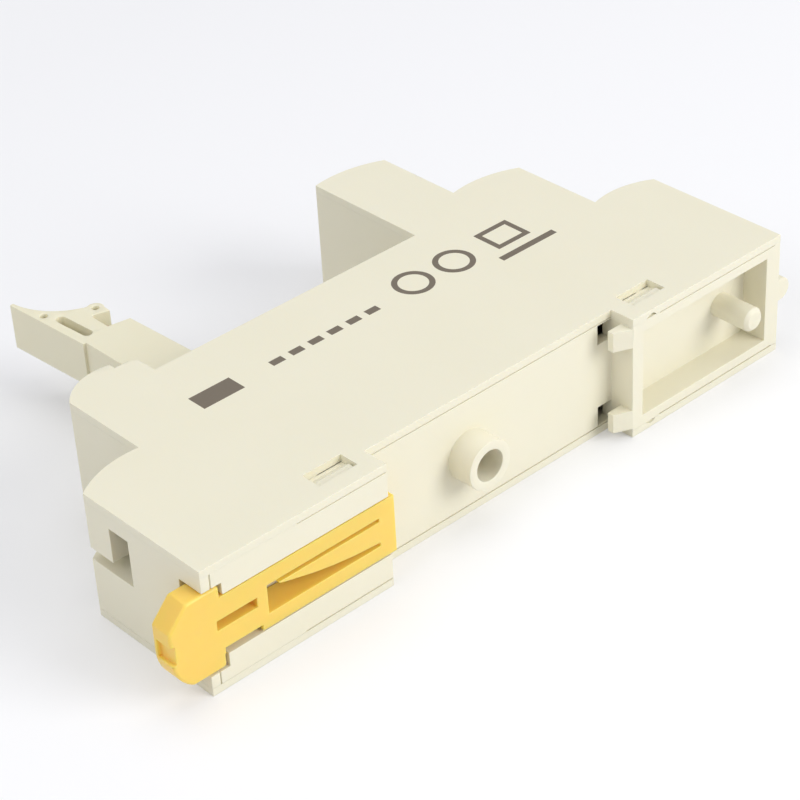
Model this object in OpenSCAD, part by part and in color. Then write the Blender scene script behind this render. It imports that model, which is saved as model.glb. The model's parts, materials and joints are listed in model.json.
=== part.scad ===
// DIN-rail relay socket with stepped screw terminals, a slide foot for the
// rail and a release lever in the relay bay. It lies on one side cover.
// X runs from the coil end to the contact end, Y from the rail face to the
// relay side, and Z across the width from the lower cover to the upper one.

/* [Housing] */
// Length of the body from the coil end to the contact end
body_len = 83.5; // [80:0.5:104]
// Width of the body over both side covers
body_w = 15.2; // [15:0.1:19]
// Thickness of each side cover
cover_t = 0.9; // [0.7:0.05:1.1]
// Thickness of the outer walls
wall_t = 1.2; // [1:0.05:1.45]
// Thickness of the partitions between the contact steps
partition_t = 1; // [0.8:0.05:1.2]
// Thickness of the web between the two rows of cells
web_t = 0.8; // [0.6:0.05:1]
// Offset of the web below the middle of the width
web_drop = 0.8; // [0:0.05:0.9]
// Thickness of the floors at the rail face and under the relay
floor_t = 1.3; // [1:0.05:1.6]
// Width of the parting groove along the cover edges
seam_w = 0.15; // [0.1:0.05:0.25]
// Depth of the parting groove
seam_d = 0.25; // [0.1:0.05:0.4]

/* [Relay side steps] */
// Height of the relay seat above the rail face
seat_h = 30.2; // [28.5:0.1:33.5]
// Length of the lower coil step
coil_low_len = 8.6; // [8.4:0.1:10.4]
// Height of the lower coil step at its crest
coil_low_h = 20.3; // [19.5:0.1:24]
// Fall of the lower coil step towards the coil end
coil_low_fall = 2.3; // [1.5:0.1:2.6]
// Length of the upper coil step
coil_high_len = 9.9; // [9.5:0.1:12]
// Height of the upper coil step at its crest
coil_high_h = 34.7; // [34:0.1:38]
// Fall of the upper coil step towards the coil end
coil_high_fall = 2.9; // [2:0.1:3.2]
// Height of the ledge beside the relay bay
coil_ledge_h = 33.55; // [32:0.05:34]
// Length of that ledge
coil_ledge_len = 2.7; // [2:0.1:3.5]
// Length of the contact step next to the relay bay
step1_len = 9.7; // [9.2:0.1:11.7]
// Height of that step at its crest
step1_h = 47.55; // [44:0.05:57]
// Length of the middle contact step
step2_len = 9.4; // [9.2:0.1:11.3]
// Height of the middle contact step
step2_h = 34.3; // [31:0.1:38]
// Length of the outer contact step
step3_len = 8.5; // [8.5:0.1:10.2]
// Height of the outer contact step
step3_h = 20.7; // [19.6:0.1:24]
// Fall of each contact step towards the contact end
step_fall = 1.7; // [1:0.1:2]
// Distance from the near face of a contact step to its crest
crest_in = 2.8; // [2:0.1:3.4]

/* [Rail side] */
// Width of the rail channel
rail_w = 35.6; // [35.3:0.05:36.2]
// Depth of the rail channel
rail_depth = 3.2; // [2.8:0.1:3.6]
// Distance from the relay bay's far wall to the end of the rail channel
rail_past_bay = 3.4; // [3:0.1:4]
// Reach of each rail hook over the channel
hook_reach = 2.1; // [1.6:0.1:2.6]
// Depth of each hook's nose below the rail face
hook_h = 1.75; // [1.4:0.05:1.9]
// Width of each hook
hook_w = 2.4; // [2:0.1:3]
// Distance between the two hooks' middles
hook_pitch = 10.5; // [9.5:0.1:11]
// Distance from the channel's near wall to the fixing screw
screw_from_rail = 14; // [13.6:0.1:14.4]
// Clearance radius of the hole for the fixing screw
screw_r = 1.85; // [1.6:0.05:2.2]
// Radius of the boss around that hole
screw_boss_r = 2.9; // [2.6:0.05:3.2]
// Radius of the counterbore for the screw's head
screw_head_r = 3; // [2.8:0.05:3.3]
// Radius of the column that carries the screw
screw_column_r = 4; // [3.8:0.05:4.2]
// Height of the counterbore's floor above the rail face
screw_floor_h = 6; // [5:0.1:8]
// Distance between the fixing screw and the locating pin
pin_pitch = 39.5; // [39:0.1:40]
// Radius of the locating pin
pin_r = 1.45; // [1.2:0.05:1.6]
// Reach of the locating pin beyond the rail face
pin_out = 1.9; // [1.5:0.1:2.5]
// Depth of the box around the locating pin
box_depth = 3.3; // [3:0.1:3.6]
// Wall between the rail channel and that box
box_wall_near = 1.6; // [1.4:0.1:2]
// Wall between that box and the contact end
box_wall_end = 2.2; // [1.8:0.1:2.6]
// Wall at each side of that box, cover included
box_wall_side = 2.2; // [2:0.1:2.6]
// Reach of the lug on the contact end
lug_out = 2.2; // [1.6:0.1:2.6]
// Radius of that lug's round end
lug_r = 1.4; // [1:0.1:1.6]
// Thickness of that lug
lug_t = 2; // [1.4:0.1:2.4]
// Distance from the rail face to that lug
lug_up = 0.3; // [0.2:0.1:1]

/* [Cover latches] */
// Length of each latch window in a cover
latch_len = 5; // [4:0.1:5.5]
// Height of each latch window
latch_h = 2.5; // [2:0.1:2.6]
// Height of the latch windows above the rail face
latch_up = 2.05; // [2:0.05:2.4]
// Distance from the coil latch to the rail channel
latch_from_rail = 2; // [1.8:0.1:3]
// Distance from the contact latch to the rail channel
latch_past_rail = 2.2; // [1.8:0.1:3]
// Play around each latch ramp in its window
latch_gap = 0.2; // [0.1:0.05:0.3]
// Radius of the pegs that locate the covers
peg_r = 0.85; // [0.7:0.05:1]
// Length of those pegs
peg_len = 2.2; // [1.5:0.1:2.6]
// Wall around each peg socket
peg_wall = 0.8; // [0.6:0.05:1]
// Radius of the shallow round notch for prying off a cover
pry_r = 0.9; // [0.7:0.05:1.1]

/* [Terminals] */
// Depth of a terminal plate below the crest of its step
plate_drop = 7.6; // [7:0.1:8.4]
// Depth of a coil terminal plate below the crest of its step
coil_plate_drop = 9; // [8.4:0.1:9.4]
// Length of a terminal plate
plate_len = 6.6; // [6:0.1:6.8]
// Width of a terminal plate
plate_w = 5.3; // [5:0.1:5.4]
// Thickness of a terminal plate
plate_t = 1; // [0.8:0.05:1.2]
// Gap between a terminal plate and its cell
plate_gap = 0.4; // [0.2:0.05:0.45]
// Distance from the web to the axis of a terminal screw
screw_axis_w = 2.75; // [2.7:0.05:2.8]
// Radius of a terminal screw's shank
shank_r = 1.45; // [1.2:0.05:1.5]
// Running clearance around that shank
thread_gap = 0.05; // [0.02:0.01:0.1]
// Length of that shank below its head
shank_len = 6; // [5:0.1:6.2]
// Radius of a terminal screw's head
head_r = 2.3; // [2:0.05:2.35]
// Height of that head
head_h = 2.2; // [1.8:0.1:2.4]
// Side of a clamp washer
washer_w = 4.7; // [4.6:0.1:4.8]
// Thickness of a clamp washer
washer_t = 1; // [0.8:0.05:1.2]
// Lift of a clamp washer when its screw is opened
washer_lift = 2; // [1.5:0.1:2.2]
// Height of a wire entry above its terminal plate
entry_h = 4.6; // [4.2:0.1:4.6]
// Width of a wire entry
entry_w = 4.7; // [4.3:0.1:4.8]

/* [Contacts] */
// Thickness of the contact strips
strip_t = 0.8; // [0.6:0.05:0.9]
// Width of the contact strips
strip_w = 2.6; // [2.2:0.1:2.8]
// Play around a contact strip where it passes a wall
strip_gap = 0.15; // [0.05:0.05:0.3]
// Height of the strip run from the coil terminals
run_coil = 6.1; // [5.8:0.1:6.3]
// Height of the strip run from the outer contact step
run_step3 = 9.5; // [9.2:0.1:9.6]
// Height of the strip run from the middle contact step
run_step2 = 13.7; // [13:0.1:14.2]
// Height of the strip run from the inner contact step
run_step1 = 17.7; // [17.2:0.1:17.8]
// Distance between the contact blades of one relay pole
blade_pitch = 5; // [4.6:0.1:5.2]
// Distance from the last contact blade to the end of the relay bay
blade_end = 2.3; // [2:0.1:2.8]
// Distance from the release lever's block to the coil blade
coil_blade_in = 3; // [2.6:0.1:3.4]
// Distance between the two rows of blades
row_pitch = 7.5; // [7.2:0.1:7.8]
// Length of a blade slot in the relay seat
blade_slot_len = 3.2; // [3:0.1:3.4]
// Width of a blade slot
blade_slot_w = 0.9; // [0.8:0.05:1.1]
// Thickness of the blade clips' sheet
clip_t = 0.4; // [0.3:0.05:0.5]
// Width of a blade clip
clip_w = 3; // [2.6:0.1:3.1]
// Height of a blade clip's foot above the rail face
clip_foot_h = 20.5; // [20.4:0.1:21]

/* [Slide foot] */
// Width of the slide foot's plate
foot_w = 6.9; // [6.4:0.1:7.2]
// Thickness of that plate
foot_t = 3.2; // [2.8:0.05:3.3]
// Thickness of its tip, which the rail's edge slides over
foot_tip_t = 2; // [1.8:0.05:2]
// Reach of the foot into the rail channel
foot_reach = 0.7; // [0.5:0.1:1.2]
// Travel of the foot when it is pulled
foot_travel = 2.5; // [2:0.1:2.8]
// Play around the foot in its slot
foot_gap = 0.15; // [0.1:0.05:0.2]
// Width of the guide lug along each edge of the foot
guide_w = 0.6; // [0.5:0.05:0.8]
// Thickness of those guide lugs
guide_t = 0.8; // [0.6:0.05:0.9]
// Reach of the foot's head beyond the coil end
head_out = 4.2; // [3.6:0.1:5]
// Depth of the head in the coil end
head_in = 2.1; // [1.8:0.1:2.4]
// Gap between the head and the end of its seat
head_gap = 0.3; // [0.2:0.05:0.4]
// Thickness of the head
head_t = 3.2; // [2.8:0.1:3.2]
// Height of the head above the middle of the width
head_up = 4.8; // [4.2:0.05:4.9]
// Depth of the head below the middle of the width
head_down = 5; // [4.4:0.05:5.1]
// Radius of the round corner at the bottom of the head
head_round_r = 4.9; // [4:0.1:5.2]
// Chamfer along the back of the head
head_edge = 0.6; // [0.3:0.1:0.8]
// Width of the screwdriver slot in the head
driver_w = 2.2; // [1.8:0.1:2.6]
// Depth of that slot
driver_in = 0.5; // [0.4:0.05:1]

/* [Release lever] */
// Width of the release lever
lever_w = 5.7; // [5:0.1:6.2]
// Length of the lever's block beside the relay
lever_block = 7.1; // [6.8:0.1:7.2]
// Gap between the lever's block and the upper coil step
lever_gap = 2.4; // [2.3:0.05:2.6]
// Height of the lever's notch above the relay seat
notch_up = 16.6; // [15:0.1:18]
// Height of the lever's tip above the relay seat
lever_up = 28.8; // [28.6:0.1:32]
// Radius of the finger curve on the lever's tip
finger_r = 8.1; // [7.8:0.1:8.4]
// Radius of the round nose over the relay
nose_r = 1.05; // [0.9:0.05:1.1]
// Width of the long slot in the lever
lever_slot_w = 1.2; // [1:0.1:1.4]
// Radius of the small holes in the lever
lever_hole_r = 0.45; // [0.3:0.05:0.6]
// Depth of the lever's pivot below the relay seat
pivot_down = 4.7; // [4.5:0.1:4.9]
// Radius of the lever's trunnions
trunnion_r = 1.3; // [1.1:0.05:1.4]
// Reach of each trunnion beyond the lever
trunnion_out = 1.5; // [1.2:0.1:1.6]
// Running clearance around the trunnions
trunnion_gap = 0.05; // [0.02:0.01:0.1]
// Radius of the hub around the trunnions
hub_r = 2.5; // [2.2:0.1:2.6]
// Play between the lever and its pocket
pocket_gap = 0.3; // [0.2:0.05:0.35]

/* [Hidden] */
$fn = 64;
eps = 0.01;
far = 20;

ivory = [0.94, 0.92, 0.84];
amber = [0.97, 0.80, 0.36];
brass = [0.80, 0.69, 0.42];
bronze = [0.78, 0.58, 0.36];
steel = [0.74, 0.75, 0.76];

// Places along X
bay_start = coil_low_len + coil_high_len;
bay_end = body_len - step1_len - step2_len - step3_len;
step1_end = bay_end + step1_len;
step2_end = step1_end + step2_len;
rail_end = bay_end + rail_past_bay;
rail_start = rail_end - rail_w;
screw_x = rail_start + screw_from_rail;
pin_x = screw_x + pin_pitch;
box_start = rail_end + box_wall_near;
box_end = body_len - box_wall_end;

// Places along Z
mid_z = body_w / 2;
inner_lo = cover_t;
inner_hi = body_w - cover_t;
web_lo = mid_z - web_drop - web_t / 2;
web_hi = web_lo + web_t;

// Places along Y
cell_floor = rail_depth + floor_t;
seat_under = seat_h - floor_t;
lever_top = seat_h + lever_up;

// The origin lies under the middle of the whole object
shift_x = (head_out - body_len - lug_out) / 2;
shift_y = (pin_out - lever_top) / 2;

// Crest curves: distance from the outer edge, radius of the arc
function arc_r(run, fall) = (run * run + fall * fall) / (2 * fall);
coil_low_crest = coil_low_len - 1.6;
coil_high_crest = coil_low_len + 5.4;

// Blocks of the relay side: [start, end, crest place, crest height, radius]
BLOCKS = [
    [0, coil_low_len, coil_low_crest, coil_low_h, arc_r(coil_low_crest, coil_low_fall)],
    [coil_low_len, bay_start, coil_high_crest, coil_high_h,
        arc_r(coil_high_crest - coil_low_len, coil_high_fall)],
    [bay_end, step1_end, bay_end + crest_in, step1_h, arc_r(step1_len - crest_in, step_fall)],
    [step1_end, step2_end, step1_end + crest_in, step2_h,
        arc_r(step2_len - crest_in, step_fall)],
    [step2_end, body_len, step2_end + crest_in, step3_h,
        arc_r(step3_len - crest_in, step_fall)]
];

// Cells under those blocks: [start, end]
CELLS = [
    [wall_t, coil_low_len],
    [coil_low_len + wall_t, bay_start - wall_t],
    [bay_end + wall_t, step1_end - partition_t],
    [step1_end, step2_end - partition_t],
    [step2_end, body_len - wall_t]
];

// The release lever
lever_x = bay_start + lever_gap;
lever_right = lever_x + lever_block;
pivot_x = lever_x + 3.3;
pivot_y = seat_h - pivot_down;
housing_end = lever_right + 0.9;
housing_floor = pivot_y - hub_r - pocket_gap - 2.4;

// The coil blades, always clear of the screw's column
coil_blade_x = min(lever_right + coil_blade_in, screw_x - screw_column_r - clip_w / 2 - 0.05);

// Stations of the terminals: [cell, plate top, strip run, blade place]
last_blade = bay_end - blade_end;
STATIONS = [
    [0, coil_low_h - coil_plate_drop, run_coil, coil_blade_x],
    [2, step1_h - plate_drop, run_step1, last_blade],
    [3, step2_h - plate_drop, run_step2, last_blade - blade_pitch],
    [4, step3_h - plate_drop, run_step3, last_blade - 2 * blade_pitch]
];
function cell_of(s) = CELLS[STATIONS[s][0]];
function plate_x(s) = cell_of(s)[0] + plate_gap;
function screw_at(s) = plate_x(s) + plate_len / 2;
function plate_top(s) = STATIONS[s][1];
function run_y(s) = STATIONS[s][2];
function blade_x(s) = STATIONS[s][3];
// The coil's strip leaves its plate at the far end, the others at the near end
function leg_x(s) = s == 0 ? plate_x(s) + plate_len - strip_w : plate_x(s);

// Sockets of the cover pegs: [x, y]
PEGS = [
    [housing_end - peg_r - peg_wall, housing_floor + peg_r + peg_wall],
    [CELLS[1][0] + peg_r + peg_wall - 0.2, 24],
    [CELLS[2][1] - peg_r - peg_wall + 0.2, 25.5],
    [CELLS[3][1] - peg_r - peg_wall + 0.2, cell_floor + peg_r + peg_wall - 0.2]
];

// ---------- helpers ----------

// Puts the model's own origin under the middle of the object
module place() {
    translate([shift_x, shift_y, 0]) children();
}

// A box from one corner to the opposite one
module span(a, b) {
    translate(a) cube(b - a);
}

// Extrudes an outline drawn in X and Y between two heights
module slab(lo, hi) {
    translate([0, 0, lo]) linear_extrude(hi - lo) children();
}

// Extrudes an outline drawn in X and Z between two depths
module along_y(lo, hi) {
    translate([0, hi, 0]) rotate([90, 0, 0]) linear_extrude(hi - lo) children();
}

// Extrudes an outline drawn in Y and Z between two lengths
module along_x(lo, hi) {
    translate([lo, 0, 0]) rotate([90, 0, 90]) linear_extrude(hi - lo) children();
}

// A round bar or hole along Y
module round_y(x, z, r, lo, hi) {
    translate([x, lo, z]) rotate([-90, 0, 0]) cylinder(r = r, h = hi - lo);
}

// A row of cells: Z then counts from the web outwards, row 0 above it and row 1 below
module in_row(row) {
    if (row == 0) translate([0, 0, web_hi]) children();
    else translate([0, 0, web_lo]) mirror([0, 0, 1]) children();
}
function row_depth(row) = row == 0 ? inner_hi - web_hi : web_lo - inner_lo;
function row_w(row) = row == 0 ? mid_z + row_pitch / 2 - web_hi : web_lo - mid_z + row_pitch / 2;

// Both sides of the width: Z then counts from the middle
module both_sides() {
    translate([0, 0, mid_z]) children();
    translate([0, 0, mid_z]) mirror([0, 0, 1]) children();
}

// ---------- outlines ----------

// One step: straight sides under an arc, drawn in by some distance
module step_outline(block, x0, x1, inset) {
    r = block[4] - inset;
    centre = block[3] - block[4];
    intersection() {
        translate([x0, 0]) square([x1 - x0, block[3] - inset]);
        union() {
            translate([x0, 0]) square([x1 - x0, centre]);
            translate([block[2], centre]) circle(r, $fn = 160);
        }
    }
}

// Outline of the body and of both covers
module outline() {
    difference() {
        union() {
            for (b = BLOCKS) step_outline(b, b[0], b[1], 0);
            translate([bay_start, 0]) square([bay_end - bay_start, seat_h]);
        }
        translate([bay_start - coil_ledge_len, coil_ledge_h]) square([coil_ledge_len, far]);
        translate([rail_start, -1]) square([rail_w, rail_depth + 1]);
    }
}

// Outline of every cell
module cell_outline() {
    difference() {
        union() {
            for (i = [0 : len(CELLS) - 1])
                step_outline(BLOCKS[i], CELLS[i][0], CELLS[i][1], wall_t);
            translate([bay_start, 0]) square([bay_end - bay_start, seat_under]);
        }
        square([body_len, cell_floor]);
        translate([bay_start - coil_ledge_len - wall_t, coil_ledge_h - wall_t])
            square([coil_ledge_len + wall_t, far]);
    }
}

// ---------- housing ----------

// Ribs, ledges and bosses inside one row of cells
module row_ribs(row) {
    depth = row_depth(row);
    // Ribs between the contact clips
    for (i = [0, 1]) {
        x = last_blade - (i + 0.5) * blade_pitch;
        span([x - 0.4, clip_foot_h, 0], [x + 0.4, seat_h - eps, depth]);
    }
    // Ledges under the free ends of the terminal plates
    for (s = [0 : 3]) {
        under = plate_top(s) - plate_t;
        x0 = s == 0 ? cell_of(s)[0] - eps : plate_x(s) + plate_len - 1;
        x1 = s == 0 ? plate_x(s) + 1 : cell_of(s)[1] + eps;
        span([x0, under - 1.2, 0], [x1, under, depth]);
    }
    // Bosses that hold the cover pegs
    for (p = PEGS) translate([p[0], p[1], 0]) cylinder(r = peg_r + peg_wall, h = depth);
}

// Room for one contact strip's run through the walls
module strip_room(s) {
    ends = [leg_x(s), blade_x(s) - strip_w / 2];
    span(
        [min(ends) - strip_gap, run_y(s) - strip_gap, 0],
        [max(ends) + strip_w + strip_gap, run_y(s) + strip_w + strip_gap, strip_t + strip_gap]
    );
}

// Openings of one row: blade slots, screw accesses and wire entries
module row_openings(row) {
    for (s = [0 : 3]) {
        slot = [blade_slot_len / 2, blade_slot_w / 2];
        span(
            [blade_x(s) - slot[0], seat_under - eps, row_w(row) - slot[1]],
            [blade_x(s) + slot[0], seat_h + eps, row_w(row) + slot[1]]
        );
        strip_room(s);
        top = plate_top(s);
        block = BLOCKS[STATIONS[s][0]];
        round_y(screw_at(s), screw_axis_w, head_r + 0.2, top + washer_t, block[3] + 1);
        if (s > 0)
            span(
                [cell_of(s)[1] - eps, top, screw_axis_w - entry_w / 2],
                [cell_of(s)[1] + 2 * wall_t, top + entry_h, screw_axis_w + entry_w / 2]
            );
    }
}

// The wire of the lower coil terminal goes in from the relay side
module lower_coil_entry() {
    span(
        [wall_t, plate_top(0), screw_axis_w - entry_w / 2],
        [screw_at(0), coil_low_h + 1, screw_axis_w + entry_w / 2]
    );
}

// The wire of the upper coil terminal goes in through an L-shaped opening in the
// end wall, with a guide behind its inner corner
coil_entry_top = plate_top(0) + 3;
coil_entry_z = web_hi + 1.4;
module upper_coil_entry() {
    span([-1, plate_top(0), web_hi], [wall_t + eps, coil_entry_top, web_hi + plate_w + 0.3]);
    span([-1, coil_entry_top - eps, web_hi], [wall_t + eps, coil_low_h, coil_entry_z]);
}
module coil_wire_guide() {
    span(
        [wall_t - eps, coil_entry_top, coil_entry_z],
        [wall_t + 1.1, coil_low_h - coil_low_fall, inner_hi]
    );
}

// Rail hooks with the windows that the mould's cores leave behind them
module rail_hook() {
    lo = hook_pitch / 2 - hook_w / 2;
    slab(lo, lo + hook_w)
        polygon([
            [rail_end + eps, 0], [rail_end - hook_reach, 0.95],
            [rail_end - hook_reach, hook_h], [rail_end + eps, hook_h]
        ]);
}
module hook_window() {
    lo = hook_pitch / 2 - hook_w / 2;
    span([rail_end - hook_reach, rail_depth - eps, lo], [rail_end, cell_floor + eps, lo + hook_w]);
}

// Box in the rail side around the locating pin
module pin_box() {
    span([box_start, -1, box_wall_side], [box_end, box_depth, body_w - box_wall_side]);
}
module locating_pin() {
    tip = 0.4;
    round_y(pin_x, mid_z, pin_r, tip - pin_out, box_depth + eps);
    translate([pin_x, tip - pin_out, mid_z]) rotate([90, 0, 0])
        cylinder(r1 = pin_r, r2 = pin_r - tip, h = tip);
}

// Round-ended lug on the contact end
module end_lug() {
    along_y(lug_up, lug_up + lug_t) {
        translate([body_len - eps, mid_z - lug_r]) square([lug_out - lug_r + eps, 2 * lug_r]);
        translate([body_len + lug_out - lug_r, mid_z]) circle(lug_r);
    }
}

// Places of the latch windows along X
LATCHES = [rail_start - latch_from_rail - latch_len, rail_end + latch_past_rail];

// Ramps that snap into the cover windows
module latch_ramp(x) {
    lo = latch_up + latch_gap;
    hi = latch_up + latch_h - latch_gap;
    base = mid_z - cover_t - eps;
    top = mid_z - 0.35;
    along_x(x + latch_gap, x + latch_len - latch_gap)
        polygon([[lo, base], [lo, top], [lo + 0.8, top], [hi - 0.3, base]]);
}

// Bearing, pocket and swing room of the release lever
module lever_pocket() {
    r = hub_r + pocket_gap;
    half = lever_w / 2 + pocket_gap;
    slab(mid_z - half, mid_z + half) {
        translate([pivot_x, pivot_y]) circle(r);
        polygon([
            [pivot_x - r, pivot_y], [bay_start + 0.5, pivot_y + 2.6],
            [bay_start + 0.5, seat_h + eps], [lever_right + pocket_gap, seat_h + eps],
            [lever_right + pocket_gap, pivot_y + 2.6], [pivot_x + r, pivot_y]
        ]);
    }
    reach = lever_w / 2 + trunnion_out + 0.1;
    translate([pivot_x, pivot_y, mid_z - reach])
        cylinder(r = trunnion_r + trunnion_gap, h = 2 * reach);
}

// Slot, guide grooves and head seat of the slide foot
module foot_slot() {
    half = foot_w / 2 + foot_gap;
    groove = half + guide_w;
    seat = head_in + head_gap;
    span([-1, -1, mid_z - half], [rail_start + eps, foot_t + foot_gap, mid_z + half]);
    span(
        [seat - eps, foot_t - guide_t - foot_gap, mid_z - groove],
        [rail_start + eps, foot_t + foot_gap, mid_z + groove]
    );
    span([-1, -1, mid_z - head_down - 0.2], [seat, head_t + 0.2, mid_z + head_up + 0.2]);
}

// Parting grooves along the cover edges and ticks at the coil end
module seam_grooves() {
    edge = mid_z - cover_t;
    both_sides() {
        for (x = [[12, rail_start], [rail_end + box_wall_near + 2.7, body_len - 1]])
            span([x[0], -1, edge - seam_w], [x[1], seam_d, edge + eps]);
        span([rail_start, -1, edge - seam_w], [rail_end, rail_depth + seam_d, edge + eps]);
        span([1.05, -1, edge - 2], [1.05 + seam_w, seam_d, edge]);
    }
}

module main_body() {
    place() color(ivory) difference() {
        union() {
            difference() {
                slab(inner_lo, inner_hi) outline();
                slab(web_hi, inner_hi + 1) cell_outline();
                slab(inner_lo - 1, web_lo) cell_outline();
                pin_box();
            }
            for (row = [0, 1]) in_row(row) row_ribs(row);
            span(
                [bay_start - eps, housing_floor, inner_lo],
                [housing_end, seat_h - eps, inner_hi]
            );
            round_y(screw_x, mid_z, screw_column_r, cell_floor - eps, seat_h - eps);
            round_y(screw_x, mid_z, screw_boss_r, 0, rail_depth + eps);
            both_sides() {
                rail_hook();
                for (x = LATCHES) latch_ramp(x);
            }
            coil_wire_guide();
            locating_pin();
            end_lug();
        }
        round_y(screw_x, mid_z, screw_r, -1, screw_floor_h + eps);
        round_y(screw_x, mid_z, screw_head_r, screw_floor_h, seat_h + 1);
        for (row = [0, 1]) in_row(row) row_openings(row);
        in_row(1) lower_coil_entry();
        upper_coil_entry();
        both_sides() {
            hook_window();
            for (p = PEGS) translate([p[0], p[1], mid_z - cover_t - peg_len - 0.3])
                cylinder(r = peg_r + 0.05, h = peg_len + 0.3 + eps);
        }
        lever_pocket();
        foot_slot();
        seam_grooves();
    }
}

// ---------- side covers ----------

// One side cover, outside upwards, with its inner face at Z 0
module side_cover() {
    difference() {
        slab(0, cover_t) outline();
        for (x = LATCHES)
            span([x, latch_up, -1], [x + latch_len, latch_up + latch_h, cover_t + 1]);
        round_y(box_start + 1.35, -0.5, pry_r, -1, 0.35);
    }
    for (p = PEGS) translate([p[0], p[1], -peg_len]) cylinder(r = peg_r, h = peg_len + eps);
}

module top_cover() {
    place() color(ivory) translate([0, 0, inner_hi]) side_cover();
}

module bottom_cover() {
    place() color(ivory) translate([0, 0, inner_lo]) mirror([0, 0, 1]) side_cover();
}

// ---------- slide foot ----------

// Opening in the foot's plate, with the spring arm left standing in it
module spring_opening(x1) {
    x0 = x1 - 14.6;
    difference() {
        translate([x0, -1.8]) square([x1 - x0, 3.4]);
        polygon([
            [x1 + eps, -1.4], [x1 - 3.5, -1.1], [x1 - 6.2, -0.7], [x1 - 8.5, -0.25],
            [x1 - 11, 0.4], [x1 - 13, 0.95], [x1 - 13.1, 1.15], [x1 + eps, 1.15]
        ]);
    }
}

// Outline of the head: one chamfered corner, one round corner
module head_outline() {
    round_x = head_round_r - head_out;
    round_z = -0.9;
    offset(0.4, $fn = 24) offset(delta = -0.4) intersection() {
        polygon([
            [-head_out, -head_down], [-head_out, head_up - 2.4], [2.3 - head_out, head_up],
            [head_in, head_up], [head_in, -head_down]
        ]);
        union() {
            translate([round_x, round_z]) circle(head_round_r, $fn = 48);
            translate([round_x, -far]) square(2 * far);
            translate([-far, round_z]) square(2 * far);
        }
    }
}

// The head, chamfered at the back and slightly eased along the rail face
module foot_head() {
    ease = 0.2;
    hull() {
        along_y(0, ease) offset(delta = -ease) head_outline();
        along_y(ease, head_t - head_edge) head_outline();
        along_y(head_t - eps, head_t) offset(delta = -head_edge) head_outline();
    }
}

module slide_foot() {
    tip = rail_start + foot_reach;
    half = foot_w / 2;
    stop = head_in + head_gap + foot_travel + 0.1;
    place() color(amber) translate([0, 0, mid_z]) difference() {
        union() {
            along_y(0, foot_t) difference() {
                translate([0, -half]) square([tip, foot_w]);
                translate([head_in, -half - 1]) square([4.7, 1.7]);
                spring_opening(tip - 2.1);
            }
            foot_head();
            for (side = [0, 1]) mirror([0, 0, side])
                span([stop, foot_t - guide_t, half - eps], [rail_start - 1, foot_t, half + guide_w]);
        }
        // Relief slot behind the head
        span([1.4, -1, -0.3], [6.4, foot_t + 1, 0.85]);
        // Screwdriver slot, open to the end and to the rail face
        span([-head_out - 1, -1, -1.4], [driver_in - head_out, 2.3, driver_w - 1.4]);
        // Thin tip for the rail's edge, with a ramp over which the rail snaps in
        slab(-half - 1, half + 1)
            polygon([
                [rail_start - 0.1, foot_t + 1], [rail_start - 0.1, foot_tip_t],
                [tip - 0.5, foot_tip_t], [tip + eps, foot_tip_t - 0.5], [tip + 1, foot_t + 1]
            ]);
    }
}

// ---------- release lever ----------

// A slot with round ends between two points
module slot_outline(p, q, w) {
    d = q - p;
    n = [-d[1], d[0]] / norm(d) * w / 2;
    polygon([p + n, q + n, q - n, p - n]);
    translate(p) circle(w / 2);
    translate(q) circle(w / 2);
}

// Outline of the lever: X counts from its outer face, Y from the relay seat
module lever_outline() {
    top = lever_up;
    notch = notch_up;
    nose = [5, notch + 4.5];
    difference() {
        union() {
            difference() {
                polygon([
                    [0, 0], [-0.15, notch - 0.6], [-0.55, notch - 0.6], [-1.35, top - 0.02],
                    [-0.55, top], [-0.5, top - 1.5], [4.1, top - 1.5], [4.1, notch + 5.5],
                    [nose[0] + 0.6, notch + 5.35], [nose[0] + nose_r - 0.1, nose[1]],
                    [5.8, notch + 2.8], [5.8, notch], [6.4, notch - 0.15], [6.9, 6.2],
                    [lever_block, 0]
                ]);
                translate([7.2, top + 0.85]) circle(finger_r, $fn = 160);
            }
            translate(nose) circle(nose_r);
        }
        // Notch over the relay
        polygon([
            [3.6, notch + 0.3], [4.2, notch + 0.25], [8, notch - 0.45], [8, notch + 2.7],
            [5.8, notch + 2.8], [3.9, notch + 3.45], [3.6, notch + 3.2]
        ]);
        translate(nose) circle(lever_hole_r);
        translate([-0.05, notch + 7.4]) circle(lever_hole_r);
        slot_outline([0.85, notch + 5.4], [1.2, notch + 0.95], lever_slot_w);
    }
}

module release_lever() {
    half = lever_w / 2;
    reach = half + trunnion_out;
    place() color(ivory) translate([0, 0, mid_z]) {
        slab(-half, half) {
            translate([lever_x, seat_h]) lever_outline();
            polygon([
                [lever_x, seat_h + eps], [lever_right, seat_h + eps],
                [pivot_x + hub_r, pivot_y], [pivot_x - hub_r, pivot_y]
            ]);
            translate([pivot_x, pivot_y]) circle(hub_r);
        }
        translate([pivot_x, pivot_y, -reach]) cylinder(r = trunnion_r, h = 2 * reach);
    }
}

// ---------- contacts and terminals ----------

// Items 1 and 2 belong to the coil, the others to the steps, upper row first
function station(i) = floor((i - 1) / 2);
function row(i) = (i - 1) % 2;

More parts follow.
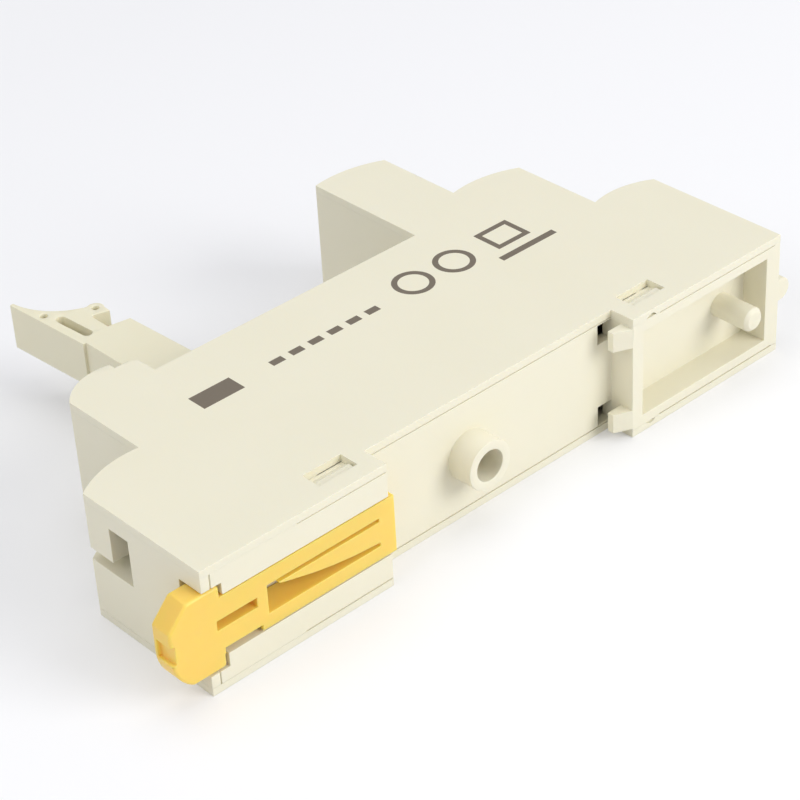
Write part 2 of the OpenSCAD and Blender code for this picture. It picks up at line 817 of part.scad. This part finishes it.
module contact_strip(i) {
    s = station(i);
    top = plate_top(s);
    blade = blade_x(s) - strip_w / 2;
    first = min(leg_x(s), blade);
    last = max(leg_x(s), blade) + strip_w;
    place() color(brass) in_row(row(i)) difference() {
        union() {
            span([plate_x(s), top - plate_t, 0], [plate_x(s) + plate_len, top, plate_w]);
            round_y(screw_at(s), screw_axis_w, shank_r + 0.4, top - plate_t - 1.2, top - eps);
            span([leg_x(s), run_y(s), 0], [leg_x(s) + strip_w, top - eps, strip_t]);
            span([first, run_y(s), 0], [last, run_y(s) + strip_w, strip_t]);
            span([blade, run_y(s), 0], [blade + strip_w, clip_foot_h, strip_t]);
        }
        round_y(screw_at(s), screw_axis_w, shank_r + thread_gap, top - 4, top + 1);
    }
}

// Two leaves that pinch the relay's blade, on a foot riveted to the strip
module blade_clip(i) {
    s = station(i);
    w = row_w(row(i));
    lo = blade_x(s) - clip_w / 2;
    hi = lo + clip_w;
    foot = clip_foot_h;
    root = foot + clip_t / 2;
    top = seat_under - 0.3;
    waist = top - 2;
    place() color(bronze) in_row(row(i)) {
        span([lo, foot - 2.8, strip_t], [hi, foot + clip_t, strip_t + clip_t]);
        span([lo, foot, strip_t], [hi, foot + clip_t, w + 0.3 + clip_t]);
        for (side = [0, 1]) translate([0, 0, w]) mirror([0, 0, side])
            along_x(lo, hi)
                polygon([
                    [root, 0.3], [waist, 0.15], [top, 0.45],
                    [top, 0.45 + clip_t], [waist, 0.15 + clip_t], [root, 0.3 + clip_t]
                ]);
    }
}

module terminal_screw(i) {
    s = station(i);
    under = plate_top(s) + washer_t;
    place() color(steel) in_row(row(i)) difference() {
        union() {
            round_y(screw_at(s), screw_axis_w, shank_r, under - shank_len, under + eps);
            round_y(screw_at(s), screw_axis_w, head_r, under, under + head_h);
        }
        // Cross recess with one long arm
        for (arm = [[0.4, 3], [1.5, 0.35]])
            translate([screw_at(s) - arm[0], under + head_h - 1.1, screw_axis_w - arm[1]])
                cube([2 * arm[0], 2, 2 * arm[1]]);
    }
}

module clamp_washer(i) {
    s = station(i);
    top = plate_top(s);
    place() color(steel) in_row(row(i)) difference() {
        span(
            [screw_at(s) - washer_w / 2, top, screw_axis_w - washer_w / 2],
            [screw_at(s) + washer_w / 2, top + washer_t, screw_axis_w + washer_w / 2]
        );
        round_y(screw_at(s), screw_axis_w, shank_r + thread_gap, top - 1, top + washer_t + 1);
    }
}

main_body();
top_cover();
bottom_cover();
slide_foot();
release_lever();
for (i = [1 : 8]) {
    contact_strip(i);
    blade_clip(i);
    terminal_screw(i);
    clamp_washer(i);
}
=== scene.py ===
# %% [markdown]
# # A relay socket for a 35 mm mounting rail
# The real object is a slim block of moulded plastic: a body, two thin side covers, a springy amber
# foot that grips the rail and a lever that frees the relay. Brass strips, spring clips and steel
# screws sit inside. The solid model already holds every shape at its true size, so this lesson
# finishes it: it eases the edges as a mould does, cuts the threads, mixes the plastics and metals,
# and sets the socket down in soft studio light.
#
# Every piece is in metres and in the solid model's own frame, so nothing has to be fitted: +X runs
# from the coil end to the contact end, +Y from the rail face to the relay side, and +Z up out of the
# cover on top. The corners of the whole model are kept from straight after loading.

import json
import math

import bmesh
import bpy
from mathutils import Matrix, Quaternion, Vector


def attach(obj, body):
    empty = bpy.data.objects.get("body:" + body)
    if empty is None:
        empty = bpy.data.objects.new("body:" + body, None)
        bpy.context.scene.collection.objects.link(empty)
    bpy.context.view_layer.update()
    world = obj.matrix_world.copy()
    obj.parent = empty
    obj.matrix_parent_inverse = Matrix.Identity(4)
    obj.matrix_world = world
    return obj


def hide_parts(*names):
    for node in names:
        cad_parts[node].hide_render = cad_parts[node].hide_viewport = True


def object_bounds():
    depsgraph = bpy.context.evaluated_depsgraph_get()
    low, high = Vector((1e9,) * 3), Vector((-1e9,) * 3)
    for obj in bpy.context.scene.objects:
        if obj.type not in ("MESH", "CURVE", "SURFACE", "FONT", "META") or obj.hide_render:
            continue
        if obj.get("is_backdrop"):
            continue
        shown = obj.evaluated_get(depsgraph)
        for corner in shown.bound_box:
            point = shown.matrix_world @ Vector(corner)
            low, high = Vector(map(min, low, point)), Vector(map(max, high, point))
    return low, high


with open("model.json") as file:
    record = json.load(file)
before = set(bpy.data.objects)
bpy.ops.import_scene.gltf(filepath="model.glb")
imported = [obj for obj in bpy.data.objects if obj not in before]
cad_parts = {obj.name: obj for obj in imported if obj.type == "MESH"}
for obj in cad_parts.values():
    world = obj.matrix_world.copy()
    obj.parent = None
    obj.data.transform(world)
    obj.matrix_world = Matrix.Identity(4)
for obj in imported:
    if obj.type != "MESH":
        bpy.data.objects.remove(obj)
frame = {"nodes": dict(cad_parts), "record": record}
cad_low, cad_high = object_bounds()
MM = 0.001
scene = bpy.context.scene
scene.view_settings.view_transform = "Standard"
size_mm = [round(side / MM, 2) for side in cad_high - cad_low]
print("nodes", len(frame["nodes"]), "size in mm", size_mm)

# %% [markdown]
# ## The camera
# The socket lies on its side cover and the lens looks down on its rail side. A camera can be placed
# by its three coordinates, but an aim point, a distance and two angles say more plainly how it
# looks at the socket, and can be changed one at a time. A long lens keeps the perspective calm.

# %% Place the camera
AIM = Vector((-1.216, -12.926, 7.6)) * MM
DISTANCE = 261.28 * MM
AZIMUTH = math.radians(-40.98)
ELEVATION = math.radians(34.12)
ROLL = math.radians(-3.42)
FOCAL_LENGTH = 109.56
SENSOR_WIDTH = 36
NEAREST = 10 * MM
FURTHEST = 20

lens = bpy.data.cameras.new("camera")
lens.lens = FOCAL_LENGTH
lens.sensor_width = SENSOR_WIDTH
lens.clip_start = NEAREST
lens.clip_end = FURTHEST
camera = bpy.data.objects.new("camera", lens)
scene.collection.objects.link(camera)
scene.camera = camera
back = Vector((
    math.sin(AZIMUTH) * math.cos(ELEVATION),
    -math.cos(AZIMUTH) * math.cos(ELEVATION),
    math.sin(ELEVATION),
))
camera.location = AIM + DISTANCE * back
camera.rotation_mode = "QUATERNION"
camera.rotation_quaternion = (-back).to_track_quat("-Z", "Y") @ Quaternion((0, 0, 1), ROLL)
print("camera at", [round(value / MM, 1) for value in camera.location])

# %% [markdown]
# ## Writing materials with nodes
# A material is a small graph. Building one by hand takes four calls for each node, so a helper that
# makes a node, fills its sockets and returns it keeps each recipe readable. A value that is a node's
# output is linked, and any other value is written into the socket.

# %% A helper for node graphs
def put(tree, kind, inputs=None, **settings):
    """Adds a node, sets it up and fills or links its inputs."""
    node = tree.nodes.new(kind)
    for name, value in settings.items():
        setattr(node, name, value)
    for name, value in (inputs or {}).items():
        if isinstance(value, bpy.types.NodeSocket):
            tree.links.new(value, node.inputs[name])
        else:
            node.inputs[name].default_value = value
    return node


def srgb(red, green, blue):
    """A colour given as a screen shows it, 0 to 255 a channel, in linear light."""
    def linear(value):
        value = value / 255
        return value / 12.92 if value <= 0.04045 else ((value + 0.055) / 1.055) ** 2.4
    return (linear(red), linear(green), linear(blue), 1)


def new_material(name):
    """An empty material with its shader, and the place of each point on the piece."""
    material = bpy.data.materials.new(name)
    material.use_nodes = True
    tree = material.node_tree
    tree.nodes.clear()
    output = tree.nodes.new("ShaderNodeOutputMaterial")
    shader = tree.nodes.new("ShaderNodeBsdfPrincipled")
    tree.links.new(shader.outputs["BSDF"], output.inputs["Surface"])
    place = tree.nodes.new("ShaderNodeTexCoord").outputs["Object"]
    return material, tree, shader, place


# %% [markdown]
# ## Moulded plastic
# The housing is a matt, slightly warm thermoplastic. Three things keep it from looking like paint:
# light goes a little way in, the spark-cut mould leaves a fine grain, and the colour drifts by a
# percent or two over a centimetre or so. A painted texture could hold the grain, but it would need
# a UV map on every piece. Noise on Object coordinates needs none, and stays with the piece when it
# moves.

# %% A recipe for moulded plastic
DRIFT_SCALE = 90
GRAIN_SCALE = 4200
GRAIN_HEIGHT = 0.03 * MM
GLOSSIER = 0.05
DULLER = 0.07
PLASTIC_IOR = 1.5


def plastic(name, light, dark, roughness, depth, tint, reach=0.9, grain=0.25):
    """Depth is how much light goes in, tint how far each colour goes, and reach the scale in mm."""
    material, tree, shader, place = new_material(name)
    drift = put(tree, "ShaderNodeTexNoise", {
        "Vector": place, "Scale": DRIFT_SCALE, "Detail": 2, "Roughness": 0.5,
    })
    colour = put(tree, "ShaderNodeMix", {
        "Factor": drift.outputs["Fac"], "A": light, "B": dark,
    }, data_type="RGBA")
    tree.links.new(colour.outputs["Result"], shader.inputs["Base Color"])
    fine = put(tree, "ShaderNodeTexNoise", {
        "Vector": place, "Scale": GRAIN_SCALE, "Detail": 3, "Roughness": 0.6,
    })
    shine = put(tree, "ShaderNodeMapRange", {
        "Value": fine.outputs["Fac"],
        "To Min": roughness - GLOSSIER, "To Max": roughness + DULLER,
    })
    tree.links.new(shine.outputs["Result"], shader.inputs["Roughness"])
    bump = put(tree, "ShaderNodeBump", {
        "Height": fine.outputs["Fac"], "Strength": grain, "Distance": GRAIN_HEIGHT,
    })
    tree.links.new(bump.outputs["Normal"], shader.inputs["Normal"])
    shader.inputs["Subsurface Weight"].default_value = depth
    shader.inputs["Subsurface Radius"].default_value = tint
    shader.inputs["Subsurface Scale"].default_value = reach * MM
    shader.inputs["IOR"].default_value = PLASTIC_IOR
    return material


# %% [markdown]
# ## The three plastics
# The body and its covers are ivory, the lever is the same plastic a shade warmer, and the foot is
# amber and more see-through, so more light travels in it. Red light goes furthest in all of them,
# which is why their thin places and corners look warm. Each colour is a pair that the drift runs
# between.

# %% Mix the plastics
IVORY = (srgb(236, 231, 210), srgb(233, 228, 205))
WARM_IVORY = (srgb(235, 230, 205), srgb(232, 226, 199))
AMBER = (srgb(246, 211, 104), srgb(244, 205, 95))
PALE_DEPTH = (1.0, 0.8, 0.5)
AMBER_DEPTH = (1.0, 0.65, 0.25)

IVORY_ROUGHNESS = 0.48
PALE_WEIGHT = 0.12

ivory = plastic("ivory_plastic", *IVORY, IVORY_ROUGHNESS, PALE_WEIGHT, PALE_DEPTH)
lever_ivory = plastic("lever_plastic", *WARM_IVORY, 0.45, PALE_WEIGHT, PALE_DEPTH)
amber = plastic("amber_plastic", *AMBER, 0.36, 0.6, AMBER_DEPTH, reach=1.6, grain=0.15)
print("plastics", ivory.name, lever_ivory.name, amber.name)

# %% [markdown]
# ## Pad print
# A socket's cover is printed with one dark ink. This one carries plain shapes only: a block, a row of
# dashes, two rings, a hollow box and a bar. The ink is far too thin to be modelled, and a picture
# would blur close up, so each shape is a test on the distance from its middle in X and Y. A box is
# given by its middle and its half sides, and a ring by its middle and its radius, all in millimetres.

# %% Lay out the print
INK = srgb(116, 106, 92)
PRINT_ROW = -6.6
BLOCK = ((-20.6, PRINT_ROW), (2.7, 1.35))
DASHES = [((-12.4 + 2.7 * i, PRINT_ROW), (0.85, 0.5)) for i in range(6)]
RINGS = [((8.0, PRINT_ROW + 0.9), 2.1), ((14.2, PRINT_ROW + 0.9), 2.1)]
HALF_LINE = 0.35
HOLLOW_BOX = ((21.9, PRINT_ROW + 1.1), (2.5, 2.1))
BAR = ((22.2, PRINT_ROW - 2.7), (4.2, 0.45))
PRINT_DEPTH = 0.2 * MM
print("printed shapes", 3 + len(DASHES) + len(RINGS))

# %% [markdown]
# ## Tests for the printed shapes
# A Math node does one sum, so a few small functions build the longer ones: how far a point is from a
# middle line, whether it is inside a box, and whether it is on a ring's line. Each gives 1 where
# there is ink and 0 elsewhere.

# %% Tests that say where ink lies
def math_node(tree, operation, *values):
    return put(tree, "ShaderNodeMath", dict(enumerate(values)), operation=operation).outputs[0]


def away(tree, value, middle):
    return math_node(tree, "ABSOLUTE", math_node(tree, "SUBTRACT", value, middle * MM))


def inside_box(tree, x, y, middle, half):
    across = math_node(tree, "LESS_THAN", away(tree, x, middle[0]), half[0] * MM)
    along = math_node(tree, "LESS_THAN", away(tree, y, middle[1]), half[1] * MM)
    return math_node(tree, "MULTIPLY", across, along)


def on_ring(tree, x, y, middle, radius):
    across = math_node(tree, "POWER", away(tree, x, middle[0]), 2)
    along = math_node(tree, "POWER", away(tree, y, middle[1]), 2)
    reach = math_node(tree, "SQRT", math_node(tree, "ADD", across, along))
    return math_node(tree, "LESS_THAN", away(tree, reach, radius), HALF_LINE * MM)


# %% [markdown]
# ## Printing the cover
# The largest of the tests is where the plastic's colour gives way to the ink's. One more test keeps
# the ink on the cover's outer face, because the same X and Y also lie on its inner face. Only the
# colour changes: the ink is as matt as the plastic under it.

# %% Print the upper cover
def print_shapes(material, top):
    tree = material.node_tree
    shader = next(node for node in tree.nodes if node.type == "BSDF_PRINCIPLED")
    place = next(node for node in tree.nodes if node.type == "TEX_COORD").outputs["Object"]
    x, y, z = put(tree, "ShaderNodeSeparateXYZ", {0: place}).outputs
    tests = [inside_box(tree, x, y, *box) for box in [BLOCK, BAR, *DASHES]]
    tests += [on_ring(tree, x, y, *ring) for ring in RINGS]
    middle, half = HOLLOW_BOX
    hollow = (half[0] - 2 * HALF_LINE, half[1] - 2 * HALF_LINE)
    outer = inside_box(tree, x, y, middle, half)
    tests.append(math_node(tree, "SUBTRACT", outer, inside_box(tree, x, y, middle, hollow)))
    inked = tests[0]
    for test in tests[1:]:
        inked = math_node(tree, "MAXIMUM", inked, test)
    outside = math_node(tree, "GREATER_THAN", z, top - PRINT_DEPTH)
    inked = math_node(tree, "MULTIPLY", inked, outside)
    plain = shader.inputs["Base Color"].links[0].from_socket
    colour = put(tree, "ShaderNodeMix", {
        "Factor": inked, "A": plain, "B": INK,
    }, data_type="RGBA")
    tree.links.new(colour.outputs["Result"], shader.inputs["Base Color"])


printed_ivory = plastic("printed_plastic", *IVORY, IVORY_ROUGHNESS, PALE_WEIGHT, PALE_DEPTH)
print_shapes(printed_ivory, cad_high.z)
print("nodes in", printed_ivory.name, len(printed_ivory.node_tree.nodes))

# %% [markdown]
# ## Metals
# Rolled strips, sprung clips and plated screws differ mostly in colour and in how their surface was
# worked. A plain metal with one roughness would mirror like chrome. Noise squeezed along one or two
# directions gives the fine lines that working leaves, and it drives both the roughness and a very
# shallow bump. A second noise lets the colour vary a little, as a handled metal's does.

# %% A recipe for worked metal
TARNISH_SCALE = 500
LINE_HEIGHT = 0.02 * MM
BRIGHTER = 0.08
GREYER = 0.12


def metal(name, light, dark, roughness, stretch):
    """Stretch is how many times a metre the lines repeat along X, Y and Z."""
    material, tree, shader, place = new_material(name)
    aligned = put(tree, "ShaderNodeMapping", {"Vector": place, "Scale": stretch})
    lines = put(tree, "ShaderNodeTexNoise", {
        "Vector": aligned.outputs["Vector"], "Scale": 1, "Detail": 4, "Roughness": 0.6,
    })
    tarnish = put(tree, "ShaderNodeTexNoise", {
        "Vector": place, "Scale": TARNISH_SCALE, "Detail": 3,
    })
    colour = put(tree, "ShaderNodeMix", {
        "Factor": tarnish.outputs["Fac"], "A": light, "B": dark,
    }, data_type="RGBA")
    tree.links.new(colour.outputs["Result"], shader.inputs["Base Color"])
    shine = put(tree, "ShaderNodeMapRange", {
        "Value": lines.outputs["Fac"],
        "To Min": roughness - BRIGHTER, "To Max": roughness + GREYER,
    })
    tree.links.new(shine.outputs["Result"], shader.inputs["Roughness"])
    bump = put(tree, "ShaderNodeBump", {
        "Height": lines.outputs["Fac"], "Strength": 0.2, "Distance": LINE_HEIGHT,
    })
    tree.links.new(bump.outputs["Normal"], shader.inputs["Normal"])
    shader.inputs["Metallic"].default_value = 1
    return material


brass = metal("rolled_brass", (0.72, 0.56, 0.28, 1), (0.66, 0.49, 0.22, 1), 0.3, (900, 900, 9000))
bronze = metal("spring_bronze", (0.74, 0.50, 0.31, 1), (0.67, 0.43, 0.25, 1), 0.32, (9000, 900, 900))
steel = metal("plated_steel", (0.72, 0.72, 0.71, 1), (0.64, 0.64, 0.62, 1), 0.28, (7000, 900, 7000))
print("metals", brass.name, bronze.name, steel.name)

# %% [markdown]
# ## From loose triangles to one skin
# The solid model's meshes come as loose triangles, and a bevel needs faces that share their edges.
# So each piece starts as a copy whose doubles are merged. The flat triangles stay as they are: a
# face with a hole in it would have to be one very odd polygon, and bevelling that tears it.
#
# On the body, the root of each rail hook passes within a hundredth of a millimetre of the rail
# channel's rim, and a bevel can't fit between them. The rim is cut level with the hooks' sides
# first, and each pair of near points then becomes one.

# %% Merge a copy of one node
MERGE = 2e-6
SHORTEST = 0.02 * MM
NEAR = 0.0125 * MM
MIDDLE_Z = (cad_low.z + cad_high.z) / 2
RIM_X = 18.55 * MM
RAIL_FACE_Y = -28.55 * MM
HOOK_SIDES = [MIDDLE_Z + side * MM for side in (-6.45, -4.05, 4.05, 6.45)]


def on_rim(vert):
    return abs(vert.co.x - RIM_X) < MERGE and abs(vert.co.y - RAIL_FACE_Y) < MERGE


def cut_rim(shape):
    """Cuts the channel's rim beside each hook, whose root then merges with it."""
    for height in HOOK_SIDES:
        rim = [edge for edge in shape.edges if all(on_rim(vert) for vert in edge.verts)]
        beside = {face for edge in rim for face in edge.link_faces}
        to_cut = [vert for vert in shape.verts if beside.intersection(vert.link_faces)]
        to_cut += [edge for edge in shape.edges if beside.intersection(edge.link_faces)]
        to_cut += [face for face in shape.faces if face in beside]
        bmesh.ops.bisect_plane(
            shape, geom=to_cut, plane_co=(0, 0, height), plane_no=(0, 0, 1))
    bmesh.ops.remove_doubles(shape, verts=shape.verts, dist=NEAR)


def merged_copy(node):
    """A node's mesh with shared edges and without slivers."""
    shape = bmesh.new()
    shape.from_mesh(frame["nodes"][node].data)
    bmesh.ops.remove_doubles(shape, verts=shape.verts, dist=MERGE)
    if node == "main_body":
        cut_rim(shape)
    bmesh.ops.dissolve_degenerate(shape, dist=SHORTEST, edges=shape.edges)
    return shape


# %% [markdown]
# ## Eased edges
# No moulded or stamped part has a knife edge: its corners are a twentieth to a tenth of a
# millimetre round, and that thin band is where a part catches the light. A Bevel modifier could do
# it, but it would also open a black groove where two pieces are pressed together. The operator takes
# a list of edges, so those on a mating plane are left out. Edges that are still steep afterwards are
# marked sharp, which keeps shade from smearing round them.

# %% Ease the sharp edges
SHARP = math.radians(22)
CREASE = math.radians(50)
EDGE_STEPS = 2


def lies_at(edge, height):
    return height is not None and all(abs(v.co.z - height) < MERGE for v in edge.verts)


def ease_edges(shape, width, mating=None):
    """Rounds every sharp edge except those at the height of a mating plane."""
    sharp = [
        e for e in shape.edges
        if e.is_manifold and e.calc_face_angle(0) > SHARP and not lies_at(e, mating)
    ]
    bmesh.ops.bevel(
        shape, geom=sharp, offset=width, offset_type="OFFSET", affect="EDGES",
        segments=EDGE_STEPS, profile=0.5, clamp_overlap=False, material=-1)
    for edge in shape.edges:
        edge.smooth = edge.calc_face_angle(0) < CREASE


# %% [markdown]
# ## From mesh to finished piece
# Every face is smooth, so that the narrow bevels shade as one curve. On its own that would make the
# broad faces look dented, because a point's normal is the average of the faces round it. Weighted
# normals let the largest face win, and keep what is marked sharp.

# %% Finish one piece
FLATNESS = 60


def finish_piece(shape, name, material):
    """An object at the origin, whose place is in its mesh."""
    for face in shape.faces:
        face.smooth = True
    mesh = bpy.data.meshes.new(name)
    shape.to_mesh(mesh)
    shape.free()
    mesh.materials.append(material)
    piece = bpy.data.objects.new(name, mesh)
    scene.collection.objects.link(piece)
    normals = piece.modifiers.new("weighted_normals", "WEIGHTED_NORMAL")
    normals.weight = FLATNESS
    normals.keep_sharp = True
    return piece


# %% [markdown]
# ## Which finish goes where
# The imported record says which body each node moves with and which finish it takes. They could be
# written out here, but reading them keeps this script in step with the solid model, however many
# strips or screws it has. Two sizes go with the finish: the width of the eased edges, and for each
# cover the height of the plane where it meets the body.

# %% Look up each node's body and finish
record = frame["record"]
BODY_OF = {
    node: body for body, nodes in record["behaviour"]["bodies"].items() for node in nodes
}
SLOT_OF = {part["node"]: part["material_slot"] for part in record["subparts"]}
MATERIAL_OF = {
    "housing": ivory, "lever": lever_ivory, "foot": amber,
    "strip": brass, "clip": bronze, "steel": steel,
}
EDGE_OF = {
    "housing": 0.05 * MM, "lever": 0.08 * MM, "foot": 0.08 * MM,
    "strip": 0.06 * MM, "clip": 0.04 * MM, "steel": 0.08 * MM,
}
PRINTED = {"top_cover": printed_ivory}
COVER = 0.9 * MM
MATING = {"top_cover": cad_high.z - COVER, "bottom_cover": cad_low.z + COVER}
print("nodes with a body", len(BODY_OF), "and with a finish", len(SLOT_OF))

# %% [markdown]
# ## The moulded and stamped pieces
# Each eased copy takes its node's place: it rides on the same body, hides the node and takes the
# node's finish. The screws are left for the next step, because they need threads as well.

# %% Ease every moulded and stamped piece
def stand_in(piece, node):
    """Puts a piece in a node's place."""
    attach(piece, BODY_OF[node])
    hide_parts(node)


SCREWS = [node for node in sorted(frame["nodes"]) if node.startswith("terminal_screw_")]
for node in sorted(set(frame["nodes"]) - set(SCREWS)):
    slot = SLOT_OF[node]
    shape = merged_copy(node)
    ease_edges(shape, EDGE_OF[slot], mating=MATING.get(node))
    material = PRINTED.get(node, MATERIAL_OF[slot])
    stand_in(finish_piece(shape, node + "_eased", material), node)
print("eased", len(frame["nodes"]) - len(SCREWS), "pieces")

# %% [markdown]
# ## Threaded screws
# The solid model's screws have plain shanks. Here each head is kept from its node and the shank is
# cut away below it. A stack of rings would look like a thread but not turn like one. A real thread is
# one tooth's outline, spun round the axis while it climbs one pitch a turn, and neighbouring turns
# share their points. It is right-handed and rises by one pitch for each full turn, as the washer
# does. The whole screw stands a hair above its washer, so their flat faces never lie in one plane.

# %% Helpers for a threaded screw
HEAD = 2.2 * MM
SHANK = 6.0 * MM
PITCH = 0.5 * MM
CREST = 1.44 * MM
CORE = 1.16 * MM
TURN_STEPS = 28
TOOTH = [(CORE, 0), (CREST, 0.4), (CREST, 0.6), (CORE, 1)]


def close_holes(shape):
    rim = [edge for edge in shape.edges if edge.is_boundary]
    bmesh.ops.holes_fill(shape, edges=rim, sides=0)


def keep_head(shape, under):
    """Cuts away all that lies below the head."""
    everything = list(shape.verts) + list(shape.edges) + list(shape.faces)
    bmesh.ops.bisect_plane(
        shape, geom=everything, plane_co=(0, under, 0), plane_no=(0, 1, 0), clear_inner=True)
    close_holes(shape)


def add_thread(shape, middle, low, turns):
    """Spins the tooth's outline up from the shank's end, and closes both ends."""
    head_points = set(shape.verts)
    head_faces = set(shape.faces)
    outline = [shape.verts.new((middle.x + r, low + PITCH * y, middle.z)) for r, y in TOOTH]
    edges = [shape.edges.new(pair) for pair in zip(outline, outline[1:])]
    bmesh.ops.spin(
        shape, geom=outline + edges, cent=middle, axis=(0, 1, 0),
        dvec=(0, PITCH / TURN_STEPS, 0), angle=2 * math.pi * turns,
        steps=TURN_STEPS * turns, use_merge=False)
    points = [vert for vert in shape.verts if vert not in head_points]
    bmesh.ops.remove_doubles(shape, verts=points, dist=MERGE)
    close_holes(shape)
    thread = [face for face in shape.faces if face not in head_faces]
    bmesh.ops.recalc_face_normals(shape, faces=thread)


# %% [markdown]
# ## Cutting the threads
# The tooth's outline is itself one pitch high, so one turn fewer than the shank has pitches brings
# the thread up to the head. The head's edges are eased before the thread is added, because a
# thread's own edges are crisp.

# %% Cut the screws' threads
TURNS = round(SHANK / PITCH) - 1
PLAY = 0.005 * MM

for node in SCREWS:
    shape = merged_copy(node)
    low = Vector(min(v.co[axis] for v in shape.verts) for axis in range(3))
    high = Vector(max(v.co[axis] for v in shape.verts) for axis in range(3))
    keep_head(shape, high.y - HEAD)
    ease_edges(shape, EDGE_OF["steel"])
    add_thread(shape, (low + high) / 2, low.y, TURNS)
    bmesh.ops.translate(shape, verts=shape.verts, vec=(0, PLAY, 0))
    stand_in(finish_piece(shape, node + "_threaded", steel), node)
print("cut", TURNS, "turns on each of", len(SCREWS), "screws")

# %% [markdown]
# ## The floor
# The socket lies on a white sheet that fades into the background. A lit white floor would need more
# light than the object can take, so its material looks a little brighter to the camera and in
# reflections than the light makes it, and still shows the shadow. Towards the viewer, on the key
# lamp's side, it is painted a little brighter still: painted light. The object itself gets only the
# light that the plain sheet throws back.

# %% A material for the sheet
SHEET_WHITE = (0.78, 0.78, 0.80, 1)
GLOW_WHITE = (1, 1, 1, 1)
FADE = 100 * MM
NEAR_LIFT = 0.19
FAR_LIFT = 0.10


def white_sheet():
    material = bpy.data.materials.new("white_sheet")
    material.use_nodes = True
    tree = material.node_tree
    tree.nodes.clear()
    output = tree.nodes.new("ShaderNodeOutputMaterial")
    matt = put(tree, "ShaderNodeBsdfDiffuse", {"Color": SHEET_WHITE})
    path = tree.nodes.new("ShaderNodeLightPath").outputs
    mirrored = math_node(tree, "MAXIMUM", path["Is Glossy Ray"], path["Is Transmission Ray"])
    seen = math_node(tree, "MAXIMUM", path["Is Camera Ray"], mirrored)
    place = tree.nodes.new("ShaderNodeTexCoord").outputs["Object"]
    depth = put(tree, "ShaderNodeSeparateXYZ", {0: place}).outputs["Y"]
    # Painted light: the sheet's glow is stronger towards the viewer than away from it.
    fade = put(tree, "ShaderNodeMapRange", {
        "Value": depth, "From Min": -FADE, "From Max": FADE,
        "To Min": NEAR_LIFT, "To Max": FAR_LIFT,
    })
    lift = math_node(tree, "MULTIPLY", seen, fade.outputs["Result"])
    glow = put(tree, "ShaderNodeEmission", {"Color": GLOW_WHITE, "Strength": lift})
    both = tree.nodes.new("ShaderNodeAddShader")
    tree.links.new(matt.outputs[0], both.inputs[0])
    tree.links.new(glow.outputs[0], both.inputs[1])
    tree.links.new(both.outputs[0], output.inputs["Surface"])
    return material


# %% [markdown]
# ## Laying the sheet
# One square face, four metres wide, is enough: its edges lie far outside any view of the socket, so
# it needs no curve at the back. It is marked as stage, because it isn't part of the object.

# %% Lay the floor
FLOOR_SIDE = 4.0
sheet = bmesh.new()
bmesh.ops.create_grid(sheet, x_segments=1, y_segments=1, size=FLOOR_SIDE / 2)
floor_mesh = bpy.data.meshes.new("floor")
sheet.to_mesh(floor_mesh)
sheet.free()
floor_mesh.materials.append(white_sheet())
floor = bpy.data.objects.new("floor", floor_mesh)
scene.collection.objects.link(floor)
floor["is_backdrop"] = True
print("floor", FLOOR_SIDE, "m wide")

# %% [markdown]
# ## Light
# A large soft lamp stands on the rail side, low enough to light it well. A weaker one lights the coil
# end, and one overhead evens out the cover. Bare points would give hard black shadows; a square lamp
# more than half as wide as it is far away gives soft ones.

# %% Set the lamps
def soft_lamp(name, direction, distance, side, power):
    """A square lamp that looks at the middle of the frame, in metres and watts."""
    lamp = bpy.data.lights.new(name, "AREA")
    lamp.shape = "SQUARE"
    lamp.size = side
    lamp.energy = power
    holder = bpy.data.objects.new(name, lamp)
    scene.collection.objects.link(holder)
    towards = Vector(direction).normalized()
    holder.location = towards * distance
    holder.rotation_mode = "QUATERNION"
    holder.rotation_quaternion = (-towards).to_track_quat("-Z", "Y")
    print(name, power, "W")


soft_lamp("key_lamp", (0.40, -0.80, 0.45), 1.2, 0.7, 8.1)
soft_lamp("side_lamp", (-0.75, 0.1, 0.65), 1.2, 0.7, 3.0)
soft_lamp("top_lamp", (0.1, 0.1, 1.0), 1.4, 1.0, 4.3)

# %% [markdown]
# ## The surround
# The world lights the object evenly from all sides, and keeps its hollows from going black. It is
# dim and very slightly blue, as the walls of a white room are, and the screws reflect it.

# %% Set the surround
SURROUND_COLOUR = (0.97, 0.98, 1.0, 1)
SURROUND_STRENGTH = 0.52
surround = bpy.data.worlds.new("surround")
scene.world = surround
surround.use_nodes = True
sky = surround.node_tree.nodes["Background"]
sky.inputs["Color"].default_value = SURROUND_COLOUR
sky.inputs["Strength"].default_value = SURROUND_STRENGTH
print("surround", SURROUND_STRENGTH)

# %% [markdown]
# ## Measure the size
# The finished pieces have to stay inside the solid model's box. Measuring both boxes makes that easy
# to compare, and the print says how far any side stands out, in millimetres.

# %% Measure both boxes and finish
low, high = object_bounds()
past = max([*(cad_low - low), *(high - cad_high)])
print("past the solid model's box by", round(past / MM, 4), "mm")
